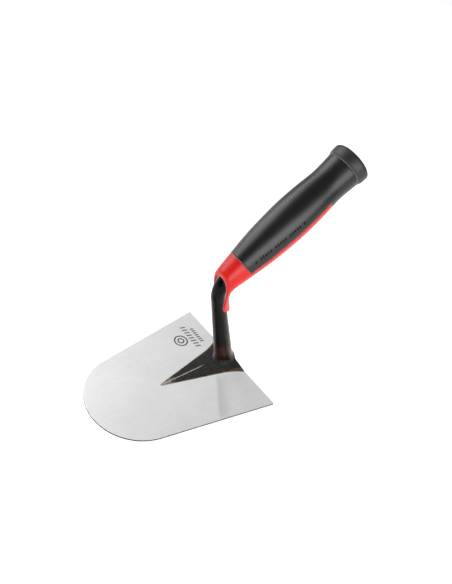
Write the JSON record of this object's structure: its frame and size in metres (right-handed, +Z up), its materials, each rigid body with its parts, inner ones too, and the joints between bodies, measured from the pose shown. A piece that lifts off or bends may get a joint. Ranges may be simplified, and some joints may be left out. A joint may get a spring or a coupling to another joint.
{
  "type": "round-nosed flat trowel",
  "caption": "Flat steel trowel with a rounded nose, a goose-neck shank on its heel and a two-colour soft-grip handle.",
  "frame": {"origin": "on the blade's flat underside, on the mirror plane, half way between nose and heel", "axes": "+Z up from the blade's underside, +X from the nose towards the heel and the handle, Y across the blade; y = 0 is the mirror plane"},
  "size_m": [0.212, 0.119, 0.1958],
  "materials": {
    "blade_steel": "ground and polished, with fine scratches along the blade",
    "shank_lacquer": "glossy black lacquer over forged steel, ground bare along the ridge",
    "core_plastic": "semi-gloss moulded red",
    "grip_rubber": "satin soft grip, fine grain",
    "cap_plastic": "satin with fine ribs",
    "washer_steel": "bright zinc plate"
  },
  "bodies": {
    "root": {"blade": "blade_steel", "shank": "shank_lacquer", "handle_core": "core_plastic", "grip_sleeve": "grip_rubber", "butt_cap": "cap_plastic", "tang_washer": "washer_steel"}
  },
  "joints": []
}
